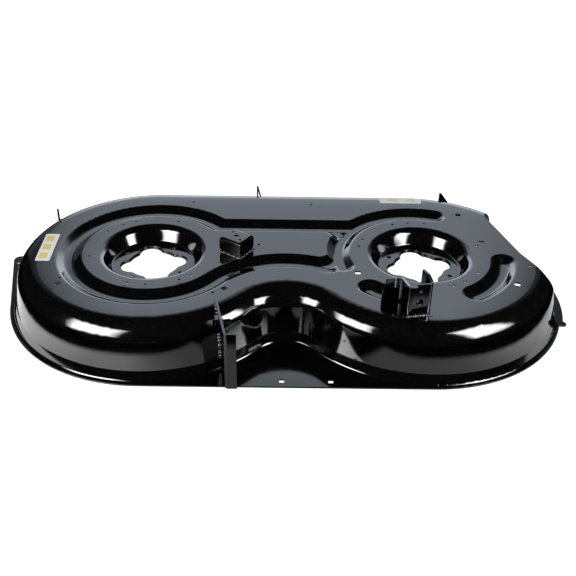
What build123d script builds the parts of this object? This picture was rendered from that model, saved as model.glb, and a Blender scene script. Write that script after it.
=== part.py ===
"""Twin-spindle lawn mower deck: a pressed steel shell with its welded brackets.

Millimetres. +Z is up and the rim stands on Z = 0. X runs along the line of the two
spindles, and the front of the part, with the waist and the straight lip, faces -Y.
"""
import os
from math import atan2, cos, degrees, hypot, radians, sin, sqrt, tan

from build123d import *

# Sheet and main form
sheet = 3.0
spindle_spacing = 530.0
top_height = 108.0
shoulder_radius = 42.0
corner_radius = 258.5
wall_run = 14.0
knee_height = 22.0
knee_fillet = 15.0
foot_run = 7.5
foot_fillet = 6.0
rim_width = 8.0
waist_setback = 220.0

# Pressed channels in the top
channel_depth = 12.0
channel_top_width = 47.0
channel_floor_width = 16.0
channel_fillet = 12.0
ring_radius = 163.0
back_channel_y = 105.5
waist_channel_setback = 200.0
waist_channel_end = 62.0
plateau_corner = 15.0
plateau_slim = 0.6
right_ring_first = 73.0
right_ring_last = 196.0
front_arc_first = 228.0
front_arc_last = 256.0
side_arc_first = 302.0
side_arc_last = 352.0

# Tool faces stand this far off the faces that they would otherwise share
skim = 0.05

# Spindle dishes and their openings
dish_depth = 30.0
dish_lip_corner = 97.5
dish_floor_corner = 82.5
dish_lip_fillet = 20.0
dish_floor_fillet = 5.0
opening_radius = 51.0
lobe_radius = 24.0
lobe_pitch = 43.0
lobe_turn = 14.0
lobe_fillet = 12.0
bolt_circle_radius = 66.0
bolt_hole_radius = 4.5
plate_radius = 78.0
plate_thickness = 3.0
plate_opening_inset = 2.0

# Discharge side, measured from the right spindle, and the rim's two side ears
discharge_back = (154.0, 166.0)
discharge_middle = (200.0, 7.0)
discharge_front = (240.0, -80.0)
discharge_fillet = 30.0
ear_tangent_angle = 12.0
left_ear_end = 140.0
right_ear_end = 40.0
right_ear_outset = 6.0
ear_fillet = 14.0
lug_length = 13.0
lug_width = 16.0
lug_angle = -17.0

# Small holes: angles on a ring round each dish, then places from the spindles and from the middle
small_hole_radius = 3.2
square_hole_side = 11.0
square_hole_corner = 2.0
slot_length = 14.0
slot_width = 7.0
lip_hole_side = 9.0
lip_hole_inset = 16.0
hole_ring_radius = 123.0
left_ring_angles = (-168, 144, 126, 113, 71, -105, -89, -59, -47)
right_ring_angles = (168, 155, 111, 95, 79, 16, -33, -54, -67)
left_holes = [(-162, -105)]
right_holes = [(209, -40), (-149, 79), (-175, -60)]
middle_holes = [(-201, 202), (53, 198), (-136, -147), (-56, 26)]
right_slots = [(130, 50, 0)]
left_square_holes = [(-162, -123, -35)]
right_square_holes = [(-129, -73, 0), (101, 161, 0), (170, -106, -20)]
middle_square_holes = [(-116, -133, 40)]
lip_hole_places = (-8.0, 80.0)
ear_hole_inset = 28.0

# Brackets
bracket_sheet = 4.0
bend_radius = 6.0
idler_length = 50.0
idler_width = 46.0
idler_height = 32.0
idler_turn = -34.0
idler_place = (-99.5, 5.0)
idler_hole_radius = 5.0
idler_hole_pitch = 17.0
idler_hole_turn = -28.0
idler_flap_corner = 12.0
idler_top_step = 7.0

hanger_width = 43.0
hanger_turn = 9.0
hanger_offset = (-51.0, -214.5)
hanger_height = 66.0
hanger_tongue_rise = 8.0
hanger_tongue_corner = 9.0
hanger_step_height = 60.0
hanger_left_depth = 48.0
hanger_right_depth = 36.0
hanger_right_lean = 17.0
hanger_wing_length = 36.0
hanger_wing_slope = 8.0
hanger_wing_height = 51.0
hanger_notch_width = 8.0
hanger_notch_height = 32.0
hanger_hole_radius = 6.5
hanger_hole_height = 28.0
hanger_pilot_radius = 3.5
hanger_pilot_height = 52.0
hanger_hole_run = 20.0

web_front_x = -107.0
web_turn = 100.7
web_length = 126.0
web_front_rise = 11.0
web_back_rise = 2.0
web_flange_width = 20.0
pin_radius = 5.0
pin_length = 28.0
pin_run = 62.0
pin_drop = 8.0
pin_collar_radius = 8.0
nut_across_flats = 22.0
nut_thickness = 7.0

rear_ear_rise = 7.5
rear_ear_width = 22.0
rear_ear_slope = 24.0
rear_ear_offset = 73.0
rear_ear_inset = 12.5
side_ear_angle = 147.8
side_ear_inset = 5.5
side_ear_rise = 10.0
side_ear_width = 16.0
side_ear_turn = 105.5
clip_place_x = -60.0
clip_outset = 3.5
clip_rise = 10.0
clip_spread = 9.0
clip_wire_radius = 1.6

# Plain stickers: the left one lies beside the ring channel, the back one in from the wall's corner
sticker_thickness = 0.4
sticker_corner = 3.0
left_sticker_size = (28.0, 102.0)
left_sticker_gap = 7.5
left_sticker_shift = 6.0
back_sticker_size = (90.0, 32.0)
back_sticker_inset = 32.5
back_sticker_offset = -16.0

knee_radius = corner_radius + wall_run
foot_radius = knee_radius + foot_run
rim_radius = foot_radius + rim_width
left_spindle = (-spindle_spacing / 2, 0.0)
right_spindle = (spindle_spacing / 2, 0.0)
waist_centre = (0.0, -waist_setback)
waist_reach = hypot(spindle_spacing / 2, waist_setback)
waist_angle = degrees(atan2(waist_setback, spindle_spacing / 2))
waist_channel_centre = (0.0, -waist_channel_setback)
waist_channel_reach = hypot(spindle_spacing / 2, waist_channel_setback)
waist_channel_angle = degrees(atan2(waist_channel_setback, spindle_spacing / 2))
waist_channel_radius = waist_channel_reach - ring_radius


def upright(centre, angle):
    """The upright plane through a vertical axis: its x runs out from the axis at the given angle."""
    turn = radians(angle)
    return Plane(
        origin=(centre[0], centre[1], 0),
        x_dir=(cos(turn), sin(turn), 0),
        z_dir=(sin(turn), -cos(turn), 0),
    )


def axis_at(centre):
    """The vertical axis through a point of the floor."""
    return Axis((centre[0], centre[1], 0), (0, 0, 1))


def round_corner(corner, radius):
    """Rounds the corner of the current sketch that lies at the given place of its plane."""
    corners = vertices()
    nearest = min(corners, key=lambda v: hypot(v.X - corner[0], v.Y - corner[1]))
    fillet(nearest, radius)


def wall_corners(skin):
    """Top corner, knee and foot of the wall section, with the skin moved inwards."""
    top = (corner_radius - skin, top_height - skin)
    knee = (knee_radius - skin, knee_height)
    foot = (foot_radius - skin, sheet - skin - (skim if skin > 0 else 0))
    return top, knee, foot


def wall_section(skin):
    """Half section of the deck, from its middle to the rim."""
    top, knee, foot = wall_corners(skin)
    bottom = -sheet if skin > 0 else 0
    with BuildSketch() as section:
        with BuildLine():
            Polyline(
                (0, bottom), (0, top[1]), top, knee, foot,
                (rim_radius, foot[1]), (rim_radius, bottom), close=True,
            )
        make_face()
        round_corner(top, shoulder_radius - skin)
        round_corner(knee, knee_fillet)
        round_corner(foot, foot_fillet + skin)
    return section.sketch


def waist_section(skin):
    """What the waist takes away, as a section about the waist's own axis."""
    top, knee, foot = ((waist_reach - r, z) for r, z in wall_corners(skin))
    above = top_height + 4 * sheet
    with BuildSketch() as section:
        with BuildLine():
            Polyline(
                (0, foot[1]), foot, knee, top, (waist_reach, top[1]),
                (waist_reach, above), (0, above), close=True,
            )
        make_face()
        round_corner(top, shoulder_radius - skin)
        round_corner(knee, knee_fillet)
        round_corner(foot, foot_fillet + skin)
    return section.sketch


def channel_section(skin, slim=0.0):
    """Section of a pressed channel, centred on its own middle line, and slimmer where that is asked for."""
    top = top_height - skin + skim
    floor = top_height - channel_depth - skin + slim
    half_angle = atan2(channel_depth, (channel_top_width - channel_floor_width) / 2) / 2
    grow = skin * tan(half_angle)
    lip = channel_top_width / 2 + grow - slim
    bed = channel_floor_width / 2 + grow - slim / 2
    shelf = lip + channel_fillet
    above = top_height + sheet
    with BuildSketch() as section:
        with BuildLine():
            Polyline(
                (-shelf, top), (-lip, top), (-bed, floor), (bed, floor), (lip, top),
                (shelf, top), (shelf, above), (-shelf, above), close=True,
            )
        make_face()
        for side in (-1, 1):
            round_corner((side * lip, top), channel_fillet - skin)
            round_corner((side * bed, floor), channel_fillet + skin - slim)
    return section.sketch


def dish_section(skin):
    """Half section of a spindle dish."""
    top = top_height - skin + skim
    floor = top_height - dish_depth - skin
    half_angle = atan2(dish_depth, dish_lip_corner - dish_floor_corner) / 2
    grow = skin * tan(half_angle)
    lip = dish_lip_corner + grow
    bed = dish_floor_corner + grow
    shelf = lip + dish_lip_fillet
    above = top_height + sheet
    with BuildSketch() as section:
        with BuildLine():
            Polyline(
                (0, floor), (bed, floor), (lip, top),
                (shelf, top), (shelf, above), (0, above), close=True,
            )
        make_face()
        round_corner((lip, top), dish_lip_fillet - skin)
        round_corner((bed, floor), dish_floor_fillet + skin)
    return section.sketch


def half_channel_section(skin):
    """One half of the channel's section, for its round ends."""
    with BuildSketch() as section:
        add(channel_section(skin))
        split(bisect_by=Plane.YZ, keep=Keep.TOP)
    return section.sketch


def deck_lump(skin):
    """The deck as a solid lump with its skin moved inwards: two domes, the back wall and the waist."""
    with BuildPart() as waist:
        with BuildSketch(Plane.XY.offset(-sheet if skin > 0 else 0)):
            with BuildLine():
                Polyline(left_spindle, right_spindle, waist_centre, close=True)
            make_face()
        extrude(amount=top_height + 3 * sheet)
        with BuildSketch(upright(waist_centre, 0)):
            add(waist_section(skin))
        revolve(axis=axis_at(waist_centre), mode=Mode.SUBTRACT)
    with BuildPart() as lump:
        for centre, first in ((left_spindle, 90), (right_spindle, 180 + waist_angle)):
            with BuildSketch(upright(centre, first)):
                add(wall_section(skin))
            revolve(axis=axis_at(centre), revolution_arc=270 - waist_angle)
        with BuildSketch(upright(left_spindle, 90)):
            add(wall_section(skin))
        extrude(amount=spindle_spacing)
        add(waist.part)
    return lump.part


def on_circle(centre, angle, radius):
    """The point of a circle about a centre, at an angle."""
    turn = radians(angle)
    return (centre[0] + radius * cos(turn), centre[1] + radius * sin(turn))


def beside(centre, offset):
    """The point at an offset from a centre."""
    return (centre[0] + offset[0], centre[1] + offset[1])


def level_plane(place, turn, height):
    """A level plane at a place and height, turned about its origin."""
    return Plane((place[0], place[1], height), x_dir=(cos(radians(turn)), sin(radians(turn)), 0))


def direction(start, end):
    """The angle of the line from one point to another."""
    return degrees(atan2(end[1] - start[1], end[0] - start[0]))


def plateau_arcs():
    """Arcs that round the middle plateau's two right corners, tangent to the channels round it."""
    bend = channel_top_width / 2 + plateau_corner
    ring_gap = ring_radius + bend
    back_y = back_channel_y - bend
    back_corner = (right_spindle[0] - sqrt(ring_gap**2 - back_y**2), back_y)
    waist_gap = waist_channel_radius + bend
    along = (waist_gap**2 - ring_gap**2 + waist_channel_reach**2) / (2 * waist_channel_reach)
    across = sqrt(waist_gap**2 - along**2)
    foot = on_circle(waist_channel_centre, waist_channel_angle, along)
    front_corner = on_circle(foot, waist_channel_angle + 90, across)
    return [
        (back_corner, bend, direction(back_corner, right_spindle), 90),
        (
            front_corner, bend,
            direction(front_corner, waist_channel_centre),
            direction(front_corner, right_spindle),
        ),
    ]


def pressings(skin):
    """All that is pressed into the top: the channels, their round ends and the two dishes."""
    back_reach = sqrt(ring_radius**2 - back_channel_y**2)
    join_angle = degrees(atan2(back_channel_y, back_reach))
    arcs = [
        (left_spindle, ring_radius, join_angle, 360 - waist_channel_angle),
        (waist_channel_centre, waist_channel_radius, waist_channel_end, 180 - waist_channel_angle),
    ]
    ends = [on_circle(centre, first, radius) for centre, radius, first, last in arcs]
    open_arcs = [
        (right_spindle, ring_radius, right_ring_first, right_ring_last),
        (right_spindle, ring_radius, front_arc_first, front_arc_last),
        (right_spindle, ring_radius, side_arc_first, side_arc_last),
    ]
    for centre, radius, first, last in open_arcs:
        ends += [on_circle(centre, first, radius), on_circle(centre, last, radius)]
    with BuildPart() as tools:
        for centre, radius, first, last in arcs + open_arcs:
            with BuildSketch(upright(centre, first)):
                with Locations((radius, 0)):
                    add(channel_section(skin))
            revolve(axis=axis_at(centre), revolution_arc=last - first)
        for place in ends:
            with BuildSketch(upright(place, 0)):
                add(half_channel_section(skin))
            revolve(axis=axis_at(place))
        with BuildSketch(upright((left_spindle[0] + back_reach, back_channel_y), 90)):
            add(channel_section(skin))
        extrude(amount=spindle_spacing - 2 * back_reach)
        for centre, radius, first, last in plateau_arcs():
            with BuildSketch(upright(centre, first)):
                with Locations((radius, 0)):
                    add(channel_section(skin, plateau_slim))
            revolve(axis=axis_at(centre), revolution_arc=last - first)
        for centre in (left_spindle, right_spindle):
            with BuildSketch(upright(centre, 0)):
                add(dish_section(skin))
            revolve(axis=axis_at(centre))
    return tools.part


def lobed_opening(inset):
    """The four-lobed spindle opening, drawn in by an inset."""
    with BuildSketch() as opening:
        Circle(opening_radius - inset)
        with PolarLocations(lobe_pitch, 4, start_angle=lobe_turn):
            Circle(lobe_radius - inset)
        fillet(opening.vertices(), lobe_fillet)
    return opening.sketch


os.makedirs("parts", exist_ok=True)

# The outer lump, kept whole: brackets are trimmed to it, and stickers to it without its pressings
plain_lump = deck_lump(0)
with BuildPart() as outer:
    add(plain_lump)
    add(pressings(0), mode=Mode.SUBTRACT)

with BuildPart() as hollow:
    add(deck_lump(sheet))
    add(pressings(sheet), mode=Mode.SUBTRACT)

# Front lip between the two rims, and the ears where the rim runs off at a tangent
ear_turn = radians(ear_tangent_angle)
tangent_x = rim_radius * cos(ear_turn)
tangent_y = -rim_radius * sin(ear_turn)
with BuildPart() as lip:
    with BuildSketch():
        with Locations((0, -rim_radius / 2)):
            Rectangle(spindle_spacing, rim_radius)
    extrude(amount=sheet)

with BuildPart() as ears:
    far_x = tangent_x + (left_ear_end - tangent_y) * tan(ear_turn)
    left_tip = (left_spindle[0] - far_x, left_ear_end)
    left_root = (left_spindle[0] - sqrt(foot_radius**2 - left_ear_end**2), left_ear_end)
    with BuildSketch():
        with BuildLine():
            Polyline(
                (left_spindle[0] - tangent_x, tangent_y),
                left_tip, left_root, (left_root[0], tangent_y), close=True,
            )
        make_face()
        round_corner(left_tip, ear_fillet)
        with Locations(left_spindle):
            Circle(foot_radius + foot_fillet, mode=Mode.SUBTRACT)
    extrude(amount=sheet)
    # On the discharge side the rim runs on round its circle, past the end of the wall
    right_ear_radius = rim_radius + right_ear_outset
    right_ear_start = rim_radius * sin(radians(lug_angle))
    right_ear_run = right_ear_end - right_ear_start
    with BuildSketch(Plane((right_spindle[0], right_spindle[1], 0))):
        Circle(right_ear_radius)
        Circle(foot_radius - sheet, mode=Mode.SUBTRACT)
        with Locations((right_ear_radius / 2, right_ear_start + right_ear_run / 2)):
            Rectangle(right_ear_radius, right_ear_run, mode=Mode.INTERSECT)
        tip_x = sqrt(right_ear_radius**2 - right_ear_end**2)
        round_corner((tip_x, right_ear_end), right_ear_outset)
    extrude(amount=sheet)

with BuildPart() as discharge:
    back_angle = atan2(discharge_back[1], discharge_back[0])
    reach = 2 * rim_radius
    with BuildSketch(Plane((right_spindle[0], right_spindle[1], 0))):
        with BuildLine():
            Polyline(
                discharge_back,
                (reach * cos(back_angle), reach * sin(back_angle)),
                (reach, reach * sin(back_angle)),
                (reach, discharge_front[1]),
                discharge_front,
                discharge_middle,
                close=True,
            )
        make_face()
        round_corner(discharge_back, discharge_fillet)
        round_corner(discharge_middle, discharge_fillet)
        round_corner(discharge_front, discharge_fillet)
    extrude(amount=2 * top_height, both=True)

small_holes = [on_circle(left_spindle, angle, hole_ring_radius) for angle in left_ring_angles]
small_holes += [on_circle(right_spindle, angle, hole_ring_radius) for angle in right_ring_angles]
small_holes += [beside(left_spindle, offset) for offset in left_holes]
small_holes += [beside(right_spindle, offset) for offset in right_holes]
small_holes += middle_holes
slots = [(beside(right_spindle, (x, y)), turn) for x, y, turn in right_slots]
square_holes = [(beside(left_spindle, (x, y)), turn) for x, y, turn in left_square_holes]
square_holes += [(beside(right_spindle, (x, y)), turn) for x, y, turn in right_square_holes]
square_holes += [((x, y), turn) for x, y, turn in middle_square_holes]
ear_hole = (left_spindle[0] - foot_radius - ear_hole_inset, left_ear_end - ear_hole_inset)
lug_centre = on_circle(right_spindle, lug_angle, rim_radius)

with BuildPart() as deck_shell:
    add(outer.part)
    add(lip.part)
    add(hollow.part, mode=Mode.SUBTRACT)
    add(discharge.part, mode=Mode.SUBTRACT)
    add(ears.part)
    with BuildSketch(level_plane(lug_centre, lug_angle, 0)):
        SlotOverall(2 * lug_length, lug_width)
        with Locations((-lug_length, 0)):
            Rectangle(lug_length, lug_width, mode=Mode.SUBTRACT)
    extrude(amount=sheet)
    with BuildSketch(Plane.XY.offset(top_height - dish_depth + sheet)):
        with Locations(left_spindle, right_spindle):
            add(lobed_opening(0))
            with PolarLocations(bolt_circle_radius, 4, start_angle=lobe_turn + 45):
                Circle(bolt_hole_radius)
    extrude(amount=-3 * sheet, mode=Mode.SUBTRACT)
    with BuildSketch(Plane.XY.offset(top_height + sheet)):
        with Locations(*small_holes):
            Circle(small_hole_radius)
        for place, turn in slots:
            with Locations(Location((place[0], place[1], 0), (0, 0, turn))):
                SlotOverall(slot_length, slot_width)
        for place, turn in square_holes:
            with Locations(Location((place[0], place[1], 0), (0, 0, turn))):
                RectangleRounded(square_hole_side, square_hole_side, square_hole_corner)
    extrude(amount=-(channel_depth + 3 * sheet), mode=Mode.SUBTRACT)
    with BuildSketch():
        with Locations(*[(x, -rim_radius + lip_hole_inset) for x in lip_hole_places]):
            Rectangle(lip_hole_side, lip_hole_side)
        with Locations(ear_hole):
            Circle(small_hole_radius)
    extrude(amount=sheet, mode=Mode.SUBTRACT)

# Everything is moved together so that the origin lies under the middle of the footprint
shell_box = deck_shell.part.bounding_box()
footprint_middle = (
    (shell_box.min.X + shell_box.max.X) / 2,
    (shell_box.max.Y - rim_radius - bracket_sheet) / 2,
)


def hand_in(piece, label):
    """Moves a piece to the shared origin, names it and writes its file."""
    placed = Pos(-footprint_middle[0], -footprint_middle[1], 0) * piece
    placed.label = label
    export_step(placed, f"parts/{label}.step")


hand_in(deck_shell.part, "deck_shell")

# Reinforcing plates under the two dish floors
for centre, label in ((left_spindle, "left_spindle_plate"), (right_spindle, "right_spindle_plate")):
    with BuildPart() as spindle_plate:
        with BuildSketch(Plane.XY.offset(top_height - dish_depth - sheet)):
            with Locations(centre):
                Circle(plate_radius)
                add(lobed_opening(plate_opening_inset), mode=Mode.SUBTRACT)
                with PolarLocations(bolt_circle_radius, 4, start_angle=lobe_turn + 45):
                    Circle(bolt_hole_radius, mode=Mode.SUBTRACT)
        extrude(amount=-plate_thickness)
    hand_in(spindle_plate.part, label)


# Idler bracket: a folded cap with its front and right sides down, the front one longer than the top
idler_plane = level_plane(idler_place, idler_turn, top_height)
with BuildPart() as idler_bracket:
    with BuildSketch(idler_plane):
        Rectangle(idler_length, idler_width)
    extrude(amount=idler_height)
    fillet(idler_bracket.faces().sort_by(Axis.Z)[-1].edges(), bend_radius)
    with BuildSketch(idler_plane):
        with Locations((-bracket_sheet, bracket_sheet)):
            Rectangle(idler_length, idler_width)
    extrude(amount=idler_height - bracket_sheet, mode=Mode.SUBTRACT)
    with BuildSketch(idler_plane):
        with Locations((idler_top_step / 2 - idler_length / 2, bend_radius)):
            Rectangle(idler_top_step, idler_width)
    extrude(amount=2 * idler_height, mode=Mode.SUBTRACT)
    free_corners = idler_bracket.edges().filter_by(Plane.XY).group_by(Axis.Z)[0]
    short_edges = free_corners.filter_by(lambda edge: abs(edge.length - bracket_sheet) < skim)
    fillet(short_edges, idler_flap_corner)
    with BuildSketch(idler_plane.offset(idler_height)):
        Circle(idler_hole_radius)
        with PolarLocations(idler_hole_pitch, 2, start_angle=idler_hole_turn):
            Circle(small_hole_radius)
    extrude(amount=-2 * bracket_sheet, mode=Mode.SUBTRACT)
hand_in(idler_bracket.part, "idler_bracket")

# Hanger bracket: one folded strip, with a drilled front, two sides and a wing that stands in the channel
hanger_plane = level_plane(beside(right_spindle, hanger_offset), hanger_turn, top_height)
hanger_face = Plane(hanger_plane.origin, x_dir=hanger_plane.x_dir, z_dir=-hanger_plane.y_dir)
hanger_side = Plane(hanger_plane.origin, x_dir=hanger_plane.y_dir, z_dir=hanger_plane.x_dir)
with BuildPart() as hanger_bracket:
    with BuildSketch(hanger_plane.offset(-channel_depth)):
        with BuildLine():
            FilletPolyline(
                (-hanger_wing_length, hanger_left_depth),
                (0, hanger_left_depth),
                (0, 0),
                (hanger_width, 0),
                (
                    hanger_width - hanger_right_depth * sin(radians(hanger_right_lean)),
                    hanger_right_depth * cos(radians(hanger_right_lean)),
                ),
                radius=bend_radius,
            )
        trace(line_width=bracket_sheet)
    extrude(amount=channel_depth + hanger_height + hanger_tongue_rise)
    # The front's top, which rises along the right side to a rounded tongue
    with BuildSketch(hanger_side):
        with BuildLine():
            Polyline(
                (-bracket_sheet, hanger_height),
                (bend_radius, hanger_height),
                (hanger_right_depth / 2, hanger_height + hanger_tongue_rise),
                (hanger_right_depth, hanger_height + hanger_tongue_rise),
                (hanger_right_depth, 2 * hanger_height),
                (-bracket_sheet, 2 * hanger_height),
                close=True,
            )
        make_face()
    extrude(amount=2 * hanger_width, mode=Mode.SUBTRACT)
    tongue_edges = hanger_bracket.edges().group_by(Axis.Z)[-1].filter_by(
        lambda edge: abs(edge.length - bracket_sheet) < skim
    )
    fillet(tongue_edges.sort_by(Axis.X)[0], hanger_tongue_corner)
    # The left side slopes down to the wing, and its front edge is stepped
    with BuildSketch(hanger_side):
        with BuildLine():
            Polyline(
                (-bracket_sheet, hanger_step_height),
                (bend_radius, hanger_step_height),
                (hanger_left_depth, hanger_wing_height),
                (hanger_left_depth + bracket_sheet, hanger_wing_height),
                (hanger_left_depth + bracket_sheet, 2 * hanger_height),
                (-bracket_sheet, 2 * hanger_height),
                close=True,
            )
        make_face()
    extrude(amount=bend_radius + hanger_notch_width, both=True, mode=Mode.SUBTRACT)
    # The wing's top, its sloped end and the relief notch beside the bend
    with BuildSketch(hanger_face.offset(-hanger_left_depth)):
        with BuildLine():
            Polyline(
                (-hanger_wing_length - bracket_sheet, 0),
                (-hanger_wing_length + hanger_wing_slope, hanger_wing_height),
                (-bend_radius - hanger_notch_width, hanger_wing_height),
                (-bend_radius - hanger_notch_width, hanger_notch_height),
                (-bend_radius - hanger_notch_width / 2, hanger_notch_height),
                (-bend_radius, 2 * hanger_height),
                (-hanger_wing_length - bracket_sheet, 2 * hanger_height),
                close=True,
            )
        make_face()
    extrude(amount=bracket_sheet, both=True, mode=Mode.SUBTRACT)
    with BuildSketch(hanger_face):
        with Locations((hanger_hole_run, hanger_pilot_height)):
            Circle(hanger_pilot_radius)
        with Locations((hanger_hole_run, hanger_hole_height)):
            Circle(hanger_hole_radius)
    extrude(amount=bracket_sheet, both=True, mode=Mode.SUBTRACT)
    with BuildSketch(hanger_side):
        with Locations((hanger_hole_run, hanger_wing_height)):
            Circle(hanger_pilot_radius)
    extrude(amount=bracket_sheet, both=True, mode=Mode.SUBTRACT)
    add(outer.part, mode=Mode.SUBTRACT)
hand_in(hanger_bracket.part, "hanger_bracket")

# Front bracket: a web from the lip back to the shoulder, with a flange folded along its front
web_front_height = top_height + web_front_rise
web_back_height = top_height + web_back_rise
web_front = (web_front_x, -rim_radius - bracket_sheet / 2)
web_back = on_circle(web_front, web_turn, web_length)
web_plane = upright(web_front, web_turn)
pin_place = web_plane.from_local_coords((pin_run, top_height - pin_drop, 0))
pin_plane = Plane(pin_place, x_dir=web_plane.x_dir, z_dir=web_plane.z_dir)
with BuildPart() as front_bracket:
    with BuildSketch():
        with BuildLine():
            FilletPolyline(
                (web_front[0] + web_flange_width, web_front[1]),
                web_front,
                web_back,
                radius=bend_radius,
            )
        trace(line_width=bracket_sheet)
    extrude(amount=web_front_height)
    with BuildSketch(web_plane):
        with BuildLine():
            Polyline(
                (bend_radius, web_front_height),
                (web_length + bend_radius, web_back_height),
                (web_length + bend_radius, 2 * web_front_height),
                (bend_radius, 2 * web_front_height),
                close=True,
            )
        make_face()
    extrude(amount=web_flange_width, both=True, mode=Mode.SUBTRACT)
    with BuildSketch(pin_plane):
        Circle(pin_radius)
    extrude(amount=bracket_sheet, both=True, mode=Mode.SUBTRACT)
    add(outer.part, mode=Mode.SUBTRACT)
    add(lip.part, mode=Mode.SUBTRACT)
hand_in(front_bracket.part, "front_bracket")

# Pin through the web, with a collar on its right, and the nut that holds it on the left
with BuildPart() as lift_pin:
    with BuildSketch(pin_plane.offset(-bracket_sheet / 2 - nut_thickness)):
        Circle(pin_radius)
    extrude(amount=pin_length)
    with BuildSketch(pin_plane.offset(bracket_sheet / 2)):
        Circle(pin_collar_radius)
    extrude(amount=sheet)
hand_in(lift_pin.part, "lift_pin")

with BuildPart() as lift_pin_nut:
    with BuildSketch(pin_plane.offset(-bracket_sheet / 2)):
        RegularPolygon(nut_across_flats / 2, 6, major_radius=False)
        Circle(pin_radius, mode=Mode.SUBTRACT)
    extrude(amount=-nut_thickness)
hand_in(lift_pin_nut.part, "lift_pin_nut")

# Ears on the back shoulder: their feet are drawn into the shoulder and trimmed to it
ear_foot = top_height - shoulder_radius
rear_ear_height = top_height + rear_ear_rise
side_ear_height = top_height + side_ear_rise
rear_ear_place = beside(right_spindle, (rear_ear_offset, corner_radius - rear_ear_inset))
side_ear_place = on_circle(left_spindle, side_ear_angle, corner_radius - side_ear_inset)
with BuildPart() as rear_right_ear:
    with BuildSketch(upright(rear_ear_place, 0)):
        with BuildLine():
            Polyline(
                (0, ear_foot),
                (rear_ear_width, ear_foot),
                (rear_ear_width, rear_ear_height - rear_ear_slope),
                (bracket_sheet, rear_ear_height),
                (0, rear_ear_height),
                close=True,
            )
        make_face()
        round_corner((bracket_sheet, rear_ear_height), sheet)
    extrude(amount=bracket_sheet / 2, both=True)
    add(outer.part, mode=Mode.SUBTRACT)
hand_in(rear_right_ear.part, "rear_right_ear")

with BuildPart() as rear_left_ear:
    with BuildSketch(upright(side_ear_place, side_ear_turn)):
        with BuildLine():
            Polyline(
                (0, ear_foot),
                (side_ear_width, ear_foot),
                (side_ear_width, side_ear_height),
                (0, side_ear_height),
                close=True,
            )
        make_face()
        round_corner((0, side_ear_height), bend_radius)
        round_corner((side_ear_width, side_ear_height), bend_radius)
    extrude(amount=bracket_sheet / 2, both=True)
    add(outer.part, mode=Mode.SUBTRACT)
hand_in(rear_left_ear.part, "rear_left_ear")

# Wire clip on the back shoulder: two legs bent over at the top
clip_y = corner_radius + clip_outset
clip_height = top_height + clip_rise
with BuildPart() as rear_clip:
    with BuildLine() as clip_path:
        Polyline(
            (clip_place_x - clip_spread / 2, clip_y, ear_foot),
            (clip_place_x - clip_spread / 2, clip_y, clip_height),
            (clip_place_x + clip_spread, clip_y, ear_foot),
        )
    with BuildSketch(Plane(clip_path.line @ 0, z_dir=clip_path.line % 0)):
        Circle(clip_wire_radius)
    sweep(transition=Transition.ROUND)
    add(outer.part, mode=Mode.SUBTRACT)
hand_in(rear_clip.part, "rear_clip")

# Plain stickers: a thin skin over the lump, cut to size
left_sticker_reach = ring_radius + channel_top_width / 2 + left_sticker_gap + left_sticker_size[0] / 2
left_sticker_place = (left_spindle[0] - left_sticker_reach, left_sticker_shift)
back_sticker_place = (right_spindle[0] + back_sticker_offset, corner_radius - back_sticker_inset)
sticker_skin = deck_lump(-sticker_thickness)
for size, place, label in (
    (left_sticker_size, left_sticker_place, "left_sticker"),
    (back_sticker_size, back_sticker_place, "back_sticker"),
):
    with BuildPart() as sticker:
        with BuildSketch(Plane.XY.offset(ear_foot)):
            with Locations(place):
                RectangleRounded(*size, radius=sticker_corner)
        extrude(amount=2 * shoulder_radius)
        add(sticker_skin, mode=Mode.INTERSECT)
        add(plain_lump, mode=Mode.SUBTRACT)
    hand_in(sticker.part, label)
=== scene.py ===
"""Looks of the twin-spindle lawn mower deck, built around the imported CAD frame.

Metres, in the frame's own axes: X along the spindles, the waisted side faces -Y, Z is up.
"""
import math

import bmesh
import bpy
from mathutils import Matrix, Vector
from mathutils.bvhtree import BVHTree


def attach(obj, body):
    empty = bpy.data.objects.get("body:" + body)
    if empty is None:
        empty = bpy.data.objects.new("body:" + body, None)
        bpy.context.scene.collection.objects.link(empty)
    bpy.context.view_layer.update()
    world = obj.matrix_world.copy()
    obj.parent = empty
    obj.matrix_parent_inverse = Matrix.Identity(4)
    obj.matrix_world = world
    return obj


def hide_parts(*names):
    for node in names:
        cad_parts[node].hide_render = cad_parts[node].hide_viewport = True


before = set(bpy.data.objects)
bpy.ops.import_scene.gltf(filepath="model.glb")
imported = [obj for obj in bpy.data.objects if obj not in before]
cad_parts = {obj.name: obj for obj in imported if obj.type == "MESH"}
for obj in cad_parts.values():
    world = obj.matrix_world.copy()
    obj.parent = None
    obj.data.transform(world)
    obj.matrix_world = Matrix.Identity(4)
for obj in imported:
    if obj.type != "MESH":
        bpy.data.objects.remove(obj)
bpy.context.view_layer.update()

# The point of the floor midway between the two spindles
SPINDLE_MIDDLE = Vector((0.013452, 0.002, 0.0))
SPINDLE_HALF_SPACING = 0.265

# Camera: it looks down on the waisted side, a little from the left, with a slight roll
CAMERA_TARGET = SPINDLE_MIDDLE + Vector((0.0039, 0.0, 0.022))
CAMERA_DISTANCE = 1.790
CAMERA_ELEVATION = math.radians(33.62)
CAMERA_YAW = math.radians(-0.85)
CAMERA_ROLL = math.radians(1.21)
CAMERA_LENS = 55.0
CAMERA_SENSOR = 36.0

# Soft boxes before the deck, to its left and right: the middle, the lean to one side, the width and height
LEFT_BOX = (Vector((-0.905, -0.785, 0.63)), math.radians(10), (0.87, 0.78))
RIGHT_BOX = (Vector((0.763, -0.496, 0.56)), 0.0, (0.52, 0.60))
SOFT_BOX_TARGET = Vector((0.0, -0.1, 0.09))
SOFT_BOX_RADIANCE = 13.0
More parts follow.
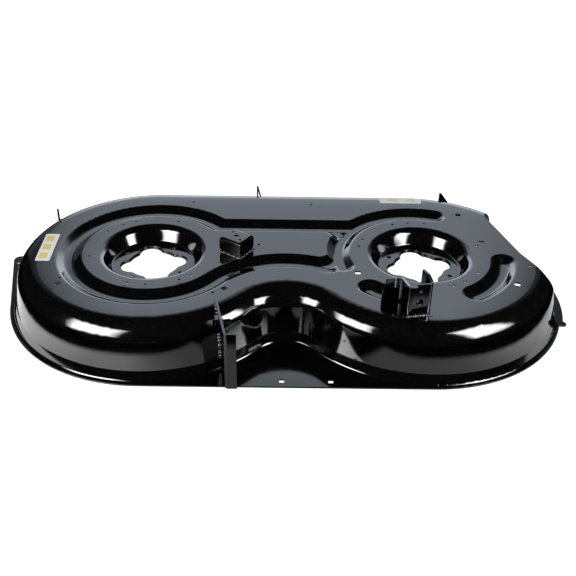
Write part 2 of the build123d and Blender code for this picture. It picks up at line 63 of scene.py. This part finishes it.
# Brightness across a soft box, from its middle to its edges
SOFT_BOX_GRADE = [(0.0, 1.0), (0.5, 0.85), (0.8, 0.35), (1.0, 0.03)]

# The wide back light, and its brightness from its foot to its top and from its middle to its sides.
# The flats of the deck mirror it.
BACK_LIGHT_DISTANCE = 2.3
BACK_LIGHT_SIZE = (4.4, 3.6)
BACK_LIGHT_LIFT = 0.002
BACK_LIGHT_RADIANCE = 2.05
BACK_LIGHT_COLOUR = (0.79, 0.893, 1.0)
BACK_LIGHT_RISE = [
    (0.0, 1.0), (0.2, 1.0), (0.347, 0.44), (0.52, 0.50), (0.56, 0.42),
    (0.6, 0.32), (0.69, 0.2), (0.83, 0.08), (1.0, 0.0),
]
BACK_LIGHT_MIDDLE = 0.486
BACK_LIGHT_SPREAD = [(0.0, 1.0), (0.4, 1.0), (0.51, 0.72), (0.57, 0.48), (0.64, 0.12), (1.0, 0.05)]

# White table, and the floor just below it
TABLE_FRONT = -0.9
TABLE_HALF_WIDTH = 1.6
TABLE_WHITE = 0.30
FLOOR_HALF_SIZE = 40.0
FLOOR_HEIGHT = -0.001
FLOOR_WHITE = 0.05
# What the camera sees of both at this strength is white
STAGE_GLOW = 1.0
WORLD_COLOUR = (0.01, 0.01, 0.011)
# Painted reflection: in mirrored rays the table glows as a pool round the deck, with a gap before the
# waist, and is black outside it; the deck's walls mirror it.
# The painted pool grows brighter away from a dark middle, towards the deck's ends.
POOL_SQUEEZE = 1.22
POOL_EDGE = (0.405, 0.425)
POOL_GAP_MIDDLE = 0.025
POOL_GAP = (0.05, 0.08)
POOL_DARK_MIDDLE = 0.13
POOL_END_GRADE = [(0.25, 0.0), (0.34, 0.12), (0.44, 0.42), (0.54, 0.45), (0.66, 0.85)]
POOL_END_GLOW = 1.55
# Painted shade: under the deck the table's glow is darkened to a soft shade, apart from painted spots of
# light where light falls through the openings
SHADE_REACH = (0.225, 0.262)
SHADE_RIGHT_END = (0.34, 0.44)
SHADE_DEPTH = 0.985
# Middle of each painted spot of light, radius of its core and of its edge
LIGHT_SPOTS = [
    ((-0.272, 0.121), 0.08, 0.12),
    ((0.301, 0.121), 0.08, 0.12),
    ((0.167, 0.097), 0.02, 0.035),
]

# Black powder coat
COATED_NODES = [
    "deck_shell", "left_spindle_plate", "right_spindle_plate", "idler_bracket", "hanger_bracket",
    "front_bracket", "lift_pin", "lift_pin_nut", "rear_right_ear", "rear_left_ear", "rear_clip",
]
COAT_IOR = 2.1
COAT_BLACK = 0.0004
COAT_ROUGHNESS = (0.06, 0.10)
HAZE_SCALE = 14.0
DUST_SCALE = 700.0
DUST_RANGE = (0.66, 0.78)
DUST_GREY = 0.05
PEEL_SCALE = 260.0
PEEL_STRENGTH = 0.05
PEEL_DEPTH = 0.0004
EDGE_ROUNDING = 0.0007
EDGE_SAMPLES = 6
# The stretch of a noise's values over which an even blend runs
NOISE_MIDDLE = (0.3, 0.7)

# Sticker vinyl, and the middles of the two stickers from the point midway between the spindles
VINYL_ROUGHNESS = 0.35
VINYL_FADE_SCALE = 40.0
VINYL_WHITES = ((0.84, 0.84, 0.82), (0.90, 0.90, 0.88))
BLOCK_YELLOW = (0.82, 0.66, 0.14)
LEFT_STICKER = (-0.473, 0.006)
LEFT_BLOCK_SHIFT = -0.002
LEFT_BLOCK_PITCH = 0.032
LEFT_BLOCK_HALF_SIZE = (0.008, 0.010)
BACK_STICKER = (0.249, 0.226)
# Each block of the back sticker: its shift along the sticker and its half size
BACK_BLOCKS = [(-0.018, (0.013, 0.006)), (0.022, (0.010, 0.006))]

# Weld beads: the drops' spacing, radius and unevenness
WELD_PITCH = 0.0030
WELD_RADIUS = 0.0027
WELD_UNEVENNESS = 0.35
WELD_SEED = 7
DROP_SUBDIVISIONS = 2
# A height above everything, from which the deck's surface is sought
ABOVE_DECK = 1.0
# The feet that the beads run along: a place on the deck, a turn, and corners from there
HANGER_FOOT = ((0.227452, -0.2125), math.radians(9), [(0.0, -0.003), (0.043, -0.003)])
IDLER_FOOT = (
    (-0.08605, 0.007), math.radians(-34),
    [(-0.025, 0.020), (-0.025, -0.023), (0.025, -0.023), (0.025, 0.023)],
)
REAR_EAR_FOOT = ((0.3515, 0.246), 0.0, [(0.0, 0.0), (0.022, 0.0)])
SIDE_EAR_FOOT = ((-0.4675, 0.1445), math.radians(105.5), [(-0.008, -0.003), (0.008, -0.003)])
# The front bracket's foot climbs the wall: distance along the bracket's web and height, at one side of it
FRONT_FOOT_START = (-0.09355, -0.288)
FRONT_FOOT_TURN = math.radians(100.7)
FRONT_FOOT_SIDE = 0.002
FRONT_FOOT = [
    (0.0614, 0.022), (0.065, 0.045), (0.0695, 0.068),
    (0.0858, 0.098), (0.100, 0.105), (0.1079, 0.1074),
]

# Smooth shading of the CAD meshes
SMOOTH_ANGLE = math.radians(32)
MERGE_DISTANCE = 0.00002
FACE_WEIGHT = 100


def node_tree(material):
    """Clears a material's nodes and returns the tree with its output."""
    material.use_nodes = True
    tree = material.node_tree
    tree.nodes.clear()
    output = tree.nodes.new("ShaderNodeOutputMaterial")
    return tree, output


def noise(tree, coordinates, scale, detail):
    """A noise texture on the given coordinates."""
    node = tree.nodes.new("ShaderNodeTexNoise")
    node.inputs["Scale"].default_value = scale
    node.inputs["Detail"].default_value = detail
    tree.links.new(coordinates, node.inputs["Vector"])
    return node


def ramp(tree, value, low, high, low_colour, high_colour):
    """A colour ramp between two places of a value."""
    node = tree.nodes.new("ShaderNodeValToRGB")
    node.color_ramp.elements[0].position = low
    node.color_ramp.elements[1].position = high
    node.color_ramp.elements[0].color = (*low_colour, 1)
    node.color_ramp.elements[1].color = (*high_colour, 1)
    tree.links.new(value, node.inputs["Fac"])
    return node


def calculate(tree, operation, first, second):
    """A math node on two inputs, each a socket or a number."""
    node = tree.nodes.new("ShaderNodeMath")
    node.operation = operation
    for socket, value in zip(node.inputs, (first, second)):
        if isinstance(value, (int, float)):
            socket.default_value = value
        else:
            tree.links.new(value, socket)
    return node.outputs["Value"]


def apart(tree, coordinate, middle):
    """How far a coordinate lies from a middle."""
    return calculate(tree, "ABSOLUTE", calculate(tree, "SUBTRACT", coordinate, middle), 0.0)


def grey(value):
    """A grey of the given level."""
    return (value, value, value)


def grade_ramp(tree, value, grade):
    """A ramp through several levels of grey."""
    node = tree.nodes.new("ShaderNodeValToRGB")
    stops = node.color_ramp.elements
    while len(stops) < len(grade):
        stops.new(0.5)
    for stop, (position, level) in zip(stops, grade):
        stop.position = position
        stop.color = (*grey(level), 1)
    tree.links.new(value, node.inputs["Fac"])
    return node.outputs["Color"]


def black_coat(name):
    """Black powder coat: faint orange peel, fine dust specks, softly rounded edges and an uneven gloss."""
    material = bpy.data.materials.new(name)
    tree, output = node_tree(material)
    shader = tree.nodes.new("ShaderNodeBsdfPrincipled")
    shader.inputs["IOR"].default_value = COAT_IOR
    shader.inputs["Metallic"].default_value = 0.0
    place = tree.nodes.new("ShaderNodeTexCoord").outputs["Object"]
    dust = noise(tree, place, DUST_SCALE, 1.0)
    colour = ramp(tree, dust.outputs["Fac"], *DUST_RANGE, grey(COAT_BLACK), grey(DUST_GREY))
    tree.links.new(colour.outputs["Color"], shader.inputs["Base Color"])
    haze = noise(tree, place, HAZE_SCALE, 3.0)
    glossy, dull = COAT_ROUGHNESS
    roughness = ramp(tree, haze.outputs["Fac"], *NOISE_MIDDLE, grey(glossy), grey(dull))
    tree.links.new(roughness.outputs["Color"], shader.inputs["Roughness"])
    rounded = tree.nodes.new("ShaderNodeBevel")
    rounded.samples = EDGE_SAMPLES
    rounded.inputs["Radius"].default_value = EDGE_ROUNDING
    peel = noise(tree, place, PEEL_SCALE, 2.0)
    bump = tree.nodes.new("ShaderNodeBump")
    bump.inputs["Strength"].default_value = PEEL_STRENGTH
    bump.inputs["Distance"].default_value = PEEL_DEPTH
    tree.links.new(peel.outputs["Fac"], bump.inputs["Height"])
    tree.links.new(rounded.outputs["Normal"], bump.inputs["Normal"])
    tree.links.new(bump.outputs["Normal"], shader.inputs["Normal"])
    tree.links.new(shader.outputs["BSDF"], output.inputs["Surface"])
    return material


def inside(tree, coordinate, middle, half):
    """One where a coordinate lies within a half width of a middle, else nothing."""
    return calculate(tree, "LESS_THAN", apart(tree, coordinate, middle), half)


def sticker_vinyl(name, blocks):
    """White sticker vinyl with plain yellow blocks, each given by its middle and half size."""
    material = bpy.data.materials.new(name)
    tree, output = node_tree(material)
    shader = tree.nodes.new("ShaderNodeBsdfPrincipled")
    shader.inputs["Roughness"].default_value = VINYL_ROUGHNESS
    place = tree.nodes.new("ShaderNodeTexCoord").outputs["Object"]
    parts = tree.nodes.new("ShaderNodeSeparateXYZ")
    tree.links.new(place, parts.inputs["Vector"])
    printed = None
    for (x, y), (half_x, half_y) in blocks:
        across = inside(tree, parts.outputs["X"], x, half_x)
        block = calculate(tree, "MULTIPLY", across, inside(tree, parts.outputs["Y"], y, half_y))
        printed = block if printed is None else calculate(tree, "MAXIMUM", printed, block)
    fade = noise(tree, place, VINYL_FADE_SCALE, 3.0)
    white = ramp(tree, fade.outputs["Fac"], *NOISE_MIDDLE, *VINYL_WHITES)
    colour = tree.nodes.new("ShaderNodeMix")
    colour.data_type = "RGBA"
    tree.links.new(printed, colour.inputs["Factor"])
    tree.links.new(white.outputs["Color"], colour.inputs[6])
    colour.inputs[7].default_value = (*BLOCK_YELLOW, 1)
    tree.links.new(colour.outputs[2], shader.inputs["Base Color"])
    tree.links.new(shader.outputs["BSDF"], output.inputs["Surface"])
    return material


def smooth_copy(node, name, material):
    """A welded, smooth-shaded copy of a CAD node that stands for it."""
    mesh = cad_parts[node].data.copy()
    mesh.name = name
    welded = bmesh.new()
    welded.from_mesh(mesh)
    bmesh.ops.remove_doubles(welded, verts=welded.verts, dist=MERGE_DISTANCE)
    for face in welded.faces:
        face.smooth = True
    for edge in welded.edges:
        edge.smooth = len(edge.link_faces) == 2 and edge.calc_face_angle(0.0) < SMOOTH_ANGLE
    welded.to_mesh(mesh)
    welded.free()
    mesh.materials.clear()
    mesh.materials.append(material)
    piece = bpy.data.objects.new(name, mesh)
    bpy.context.scene.collection.objects.link(piece)
    weighted = piece.modifiers.new("weighted", "WEIGHTED_NORMAL")
    weighted.mode = "FACE_AREA"
    weighted.weight = FACE_WEIGHT
    weighted.keep_sharp = True
    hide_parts(node)
    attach(piece, "root")
    return piece


def length(tree, first, second):
    """The straight length between the ends of two sides at a right angle."""
    first_square = calculate(tree, "MULTIPLY", first, first)
    second_square = calculate(tree, "MULTIPLY", second, second)
    return calculate(tree, "SQRT", calculate(tree, "ADD", first_square, second_square), 0.0)


def table_place(tree):
    """A place's two coordinates on the table, and how far it lies beyond the spindles."""
    place = tree.nodes.new("ShaderNodeTexCoord").outputs["Object"]
    parts = tree.nodes.new("ShaderNodeSeparateXYZ")
    tree.links.new(place, parts.inputs["Vector"])
    x, y = parts.outputs["X"], parts.outputs["Y"]
    past_spindle = calculate(tree, "SUBTRACT", apart(tree, x, SPINDLE_MIDDLE.x), SPINDLE_HALF_SPACING)
    return x, y, calculate(tree, "MAXIMUM", past_spindle, 0.0)


def painted_reflection_pool(tree, x, y, beyond):
    """How much of the painted pool of light, seen only in mirrored rays, covers a place of the table, and
    how bright the pool is towards the deck's ends.
    """
    distance = length(tree, calculate(tree, "MULTIPLY", beyond, POOL_SQUEEZE), y)
    lit = ramp(tree, distance, *POOL_EDGE, grey(1), grey(0)).outputs["Color"]
    beside_gap = ramp(tree, apart(tree, x, POOL_GAP_MIDDLE), *POOL_GAP, grey(0), grey(1)).outputs["Color"]
    ends = grade_ramp(tree, apart(tree, x, POOL_DARK_MIDDLE), POOL_END_GRADE)
    return calculate(tree, "MULTIPLY", lit, beside_gap), calculate(tree, "MULTIPLY", ends, POOL_END_GLOW)


def painted_deck_shade(tree, x, y, beyond):
    """How deep a place lies in the shade painted under the deck."""
    depth = grey(SHADE_DEPTH)
    shade = ramp(tree, length(tree, beyond, y), *SHADE_REACH, depth, grey(0)).outputs["Color"]
    inward = ramp(tree, x, *SHADE_RIGHT_END, grey(1), grey(0)).outputs["Color"]
    shade = calculate(tree, "MULTIPLY", shade, inward)
    for (spot_x, spot_y), core, edge in LIGHT_SPOTS:
        offset = length(tree, apart(tree, x, spot_x), apart(tree, y, spot_y))
        around = ramp(tree, offset, core, edge, grey(0), grey(1)).outputs["Color"]
        shade = calculate(tree, "MULTIPLY", shade, around)
    return shade


def stage_surface(name, white, table):
    """A stage surface that the camera sees as white; a table has the deck's painted shade, and a painted
    pool of light seen in mirrored rays.
    """
    material = bpy.data.materials.new(name)
    tree, output = node_tree(material)
    paths = tree.nodes.new("ShaderNodeLightPath")
    seen = calculate(tree, "MAXIMUM", paths.outputs["Is Camera Ray"], paths.outputs["Is Transmission Ray"])
    strength = calculate(tree, "MULTIPLY", seen, STAGE_GLOW)
    plain = tree.nodes.new("ShaderNodeBsdfDiffuse")
    plain.inputs["Color"].default_value = (*grey(white), 1)
    if table:
        x, y, beyond = table_place(tree)
        # Painted shade under the deck, taken out of the table's glow
        outside_painted_shade = calculate(tree, "SUBTRACT", 1.0, painted_deck_shade(tree, x, y, beyond))
        strength = calculate(tree, "MULTIPLY", strength, outside_painted_shade)
        # Painted reflection: mirrored rays see the table glow inside the pool and black outside it
        lit, ends = painted_reflection_pool(tree, x, y, beyond)
        mirrored = paths.outputs["Is Glossy Ray"]
        unlit = calculate(tree, "MULTIPLY", calculate(tree, "SUBTRACT", 1.0, lit), mirrored)
        shade = ramp(tree, unlit, 0.0, 1.0, grey(white), grey(0)).outputs["Color"]
        tree.links.new(shade, plain.inputs["Color"])
        bright = calculate(tree, "MULTIPLY", calculate(tree, "MULTIPLY", lit, ends), mirrored)
        strength = calculate(tree, "MAXIMUM", strength, bright)
    light = tree.nodes.new("ShaderNodeEmission")
    tree.links.new(strength, light.inputs["Strength"])
    both = tree.nodes.new("ShaderNodeAddShader")
    tree.links.new(plain.outputs["BSDF"], both.inputs[0])
    tree.links.new(light.outputs["Emission"], both.inputs[1])
    tree.links.new(both.outputs["Shader"], output.inputs["Surface"])
    return material


def stage_sheet(name, corners, material):
    """A flat stage surface through four corners."""
    mesh = bpy.data.meshes.new(name)
    mesh.from_pydata(corners, [], [(0, 1, 2, 3)])
    mesh.materials.append(material)
    sheet = bpy.data.objects.new(name, mesh)
    bpy.context.scene.collection.objects.link(sheet)


def area_lamp(name, place, target, size, radiance, colour=(1, 1, 1), lean=0.0):
    """A rectangular lamp that faces a target, unseen by the camera.

    Returns its nodes and the two coordinates of its face.
    """
    lamp = bpy.data.lights.new(name, "AREA")
    lamp.shape = "RECTANGLE"
    lamp.size, lamp.size_y = size
    lamp.energy = radiance * math.pi * size[0] * size[1]
    lamp.color = colour
    lamp.use_nodes = True
    holder = bpy.data.objects.new(name, lamp)
    holder.location = place
    holder.visible_camera = False
    facing = (Vector(place) - Vector(target)).to_track_quat("Z", "Y").to_matrix()
    holder.rotation_euler = (facing @ Matrix.Rotation(lean, 3, "Z")).to_euler()
    bpy.context.scene.collection.objects.link(holder)
    tree = lamp.node_tree
    face = tree.nodes.new("ShaderNodeNewGeometry").outputs["Parametric"]
    parts = tree.nodes.new("ShaderNodeSeparateXYZ")
    tree.links.new(face, parts.inputs["Vector"])
    return tree, parts.outputs["X"], parts.outputs["Y"]


def soft_box(name, place, lean, size):
    """One soft box that faces the deck, brightest in its middle."""
    tree, across, up = area_lamp(name, place, SOFT_BOX_TARGET, size, SOFT_BOX_RADIANCE, lean=lean)
    sides = []
    for coordinate in (across, up):
        sides.append(calculate(tree, "MULTIPLY", apart(tree, coordinate, 0.5), 2.0))
    edge = calculate(tree, "MAXIMUM", *sides)
    tree.links.new(grade_ramp(tree, edge, SOFT_BOX_GRADE), tree.nodes["Emission"].inputs["Color"])


def back_light():
    """The wide light behind the deck, brighter towards the floor and its middle."""
    height = BACK_LIGHT_SIZE[1] / 2 + BACK_LIGHT_LIFT
    place = (0, BACK_LIGHT_DISTANCE, height)
    tree, across, up = area_lamp(
        "back_light", place, (0, 0, height), BACK_LIGHT_SIZE, BACK_LIGHT_RADIANCE, BACK_LIGHT_COLOUR,
    )
    aside = calculate(tree, "MULTIPLY", apart(tree, across, BACK_LIGHT_MIDDLE), 2.0)
    spread = grade_ramp(tree, aside, BACK_LIGHT_SPREAD)
    tree.links.new(spread, tree.nodes["Emission"].inputs["Strength"])
    tree.links.new(grade_ramp(tree, up, BACK_LIGHT_RISE), tree.nodes["Emission"].inputs["Color"])


def build_studio():
    """White table and floor, the lamps and a dim world."""
    far, low = FLOOR_HALF_SIZE, FLOOR_HEIGHT
    stage_sheet(
        "floor",
        [(-far, -far, low), (far, -far, low), (far, far, low), (-far, far, low)],
        stage_surface("far_floor", FLOOR_WHITE, False),
    )
    half, front, back = TABLE_HALF_WIDTH, TABLE_FRONT, BACK_LIGHT_DISTANCE
    stage_sheet(
        "table",
        [(-half, front, 0), (half, front, 0), (half, back, 0), (-half, back, 0)],
        stage_surface("white_table", TABLE_WHITE, True),
    )
    soft_box("left_soft_box", *LEFT_BOX)
    soft_box("right_soft_box", *RIGHT_BOX)
    back_light()
    world = bpy.data.worlds.new("dim_studio")
    world.use_nodes = True
    world.node_tree.nodes["Background"].inputs["Color"].default_value = (*WORLD_COLOUR, 1)
    bpy.context.scene.world = world


def build_camera():
    """The camera at the photograph's viewing angle."""
    back = Vector((
        math.sin(CAMERA_YAW) * math.cos(CAMERA_ELEVATION),
        -math.cos(CAMERA_YAW) * math.cos(CAMERA_ELEVATION),
        math.sin(CAMERA_ELEVATION),
    ))
    camera = bpy.data.cameras.new("camera")
    camera.lens = CAMERA_LENS
    camera.sensor_width = CAMERA_SENSOR
    holder = bpy.data.objects.new("camera", camera)
    turn = back.to_track_quat("Z", "Y").to_matrix() @ Matrix.Rotation(CAMERA_ROLL, 3, "Z")
    holder.matrix_world = Matrix.Translation(CAMERA_TARGET + back * CAMERA_DISTANCE) @ turn.to_4x4()
    bpy.context.scene.collection.objects.link(holder)
    bpy.context.scene.camera = holder


def left_blocks():
    """Three yellow blocks down the left sticker."""
    x, y = SPINDLE_MIDDLE.x + LEFT_STICKER[0], SPINDLE_MIDDLE.y + LEFT_STICKER[1]
    blocks = []
    for step in (-1, 0, 1):
        middle = (x + LEFT_BLOCK_SHIFT, y + step * LEFT_BLOCK_PITCH)
        blocks.append((middle, LEFT_BLOCK_HALF_SIZE))
    return blocks


def back_blocks():
    """A long and a short yellow block on the back sticker."""
    x, y = SPINDLE_MIDDLE.x + BACK_STICKER[0], SPINDLE_MIDDLE.y + BACK_STICKER[1]
    return [((x + shift, y), half_size) for shift, half_size in BACK_BLOCKS]


def weld_bead_tree():
    """Geometry Nodes tree: overlapping uneven drops of weld along the edges of a mesh."""
    tree = bpy.data.node_groups.new("weld_bead", "GeometryNodeTree")
    tree.interface.new_socket("Path", in_out="INPUT", socket_type="NodeSocketGeometry")
    for name, kind in (
        ("Pitch", "NodeSocketFloat"), ("Radius", "NodeSocketFloat"), ("Smallest", "NodeSocketFloat"),
        ("Largest", "NodeSocketFloat"), ("Seed", "NodeSocketInt"), ("Coat", "NodeSocketMaterial"),
    ):
        tree.interface.new_socket(name, in_out="INPUT", socket_type=kind)
    tree.interface.new_socket("Bead", in_out="OUTPUT", socket_type="NodeSocketGeometry")
    given = tree.nodes.new("NodeGroupInput").outputs
    path = tree.nodes.new("GeometryNodeMeshToCurve")
    tree.links.new(given["Path"], path.inputs["Mesh"])
    spaced = tree.nodes.new("GeometryNodeResampleCurve")
    spaced.mode = "LENGTH"
    tree.links.new(path.outputs["Curve"], spaced.inputs["Curve"])
    tree.links.new(given["Pitch"], spaced.inputs["Length"])
    drop = tree.nodes.new("GeometryNodeMeshIcoSphere")
    drop.inputs["Subdivisions"].default_value = DROP_SUBDIVISIONS
    tree.links.new(given["Radius"], drop.inputs["Radius"])
    rounded = tree.nodes.new("GeometryNodeSetShadeSmooth")
    tree.links.new(drop.outputs["Mesh"], rounded.inputs["Geometry"])
    uneven = tree.nodes.new("FunctionNodeRandomValue")
    uneven.data_type = "FLOAT"
    tree.links.new(given["Smallest"], uneven.inputs[2])
    tree.links.new(given["Largest"], uneven.inputs[3])
    tree.links.new(given["Seed"], uneven.inputs["Seed"])
    drops = tree.nodes.new("GeometryNodeInstanceOnPoints")
    tree.links.new(spaced.outputs["Curve"], drops.inputs["Points"])
    tree.links.new(rounded.outputs["Geometry"], drops.inputs["Instance"])
    tree.links.new(uneven.outputs[1], drops.inputs["Scale"])
    whole = tree.nodes.new("GeometryNodeRealizeInstances")
    tree.links.new(drops.outputs["Instances"], whole.inputs["Geometry"])
    coated = tree.nodes.new("GeometryNodeSetMaterial")
    tree.links.new(whole.outputs["Geometry"], coated.inputs["Geometry"])
    tree.links.new(given["Coat"], coated.inputs["Material"])
    result = tree.nodes.new("NodeGroupOutput")
    tree.links.new(coated.outputs["Geometry"], result.inputs["Bead"])
    return tree


def foot_on_deck(surface, start, turn, corners):
    """A path along a bracket's foot, through corners in the bracket's own plan axes, laid on the deck."""
    path = []
    for along, across in corners:
        x = start[0] + along * math.cos(turn) - across * math.sin(turn)
        y = start[1] + along * math.sin(turn) + across * math.cos(turn)
        landing = surface.ray_cast(Vector((x, y, ABOVE_DECK)), Vector((0, 0, -1)))[0]
        path.append(landing)
    return path


def foot_up_wall():
    """The path up the wall along the left side of the front bracket's web."""
    forward = Vector((math.cos(FRONT_FOOT_TURN), math.sin(FRONT_FOOT_TURN), 0))
    left = Vector((-forward.y, forward.x, 0))
    start = Vector((*FRONT_FOOT_START, 0)) + left * FRONT_FOOT_SIDE
    return [start + forward * along + Vector((0, 0, height)) for along, height in FRONT_FOOT]


def weld_beads(coat):
    """Weld beads along the feet of the brackets and ears, as one piece."""
    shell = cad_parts["deck_shell"].data
    surface = BVHTree.FromPolygons([v.co for v in shell.vertices], [p.vertices for p in shell.polygons])
    feet = (HANGER_FOOT, IDLER_FOOT, REAR_EAR_FOOT, SIDE_EAR_FOOT)
    paths = [foot_on_deck(surface, *foot) for foot in feet] + [foot_up_wall()]
    points, edges = [], []
    for path in paths:
        first = len(points)
        points += path
        edges += [(first + step, first + step + 1) for step in range(len(path) - 1)]
    lines = bpy.data.meshes.new("weld_lines")
    lines.from_pydata(points, edges, [])
    holder = bpy.data.objects.new("weld_lines", lines)
    bpy.context.scene.collection.objects.link(holder)
    tree = weld_bead_tree()
    modifier = holder.modifiers.new("weld_bead", "NODES")
    modifier.node_group = tree
    values = {
        "Pitch": WELD_PITCH, "Radius": WELD_RADIUS, "Seed": WELD_SEED, "Coat": coat,
        "Smallest": 1 - WELD_UNEVENNESS, "Largest": 1 + WELD_UNEVENNESS,
    }
    for socket in tree.interface.items_tree:
        if socket.in_out == "INPUT" and socket.name in values:
            modifier[socket.identifier] = values[socket.name]
    graph = bpy.context.evaluated_depsgraph_get()
    mesh = bpy.data.meshes.new_from_object(holder.evaluated_get(graph))
    bpy.data.objects.remove(holder)
    mesh.name = "weld_beads"
    piece = bpy.data.objects.new("weld_beads", mesh)
    bpy.context.scene.collection.objects.link(piece)
    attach(piece, "root")
    return piece


coat = black_coat("gloss_black_coat")
for coated in COATED_NODES:
    smooth_copy(coated, coated + "_coated", coat)
weld_beads(coat)
for stuck, blocks in (("left_sticker", left_blocks()), ("back_sticker", back_blocks())):
    vinyl = sticker_vinyl(stuck + "_vinyl", blocks)
    smooth_copy(stuck, stuck + "_printed", vinyl)

build_studio()
build_camera()
bpy.context.scene.view_settings.view_transform = "Standard"
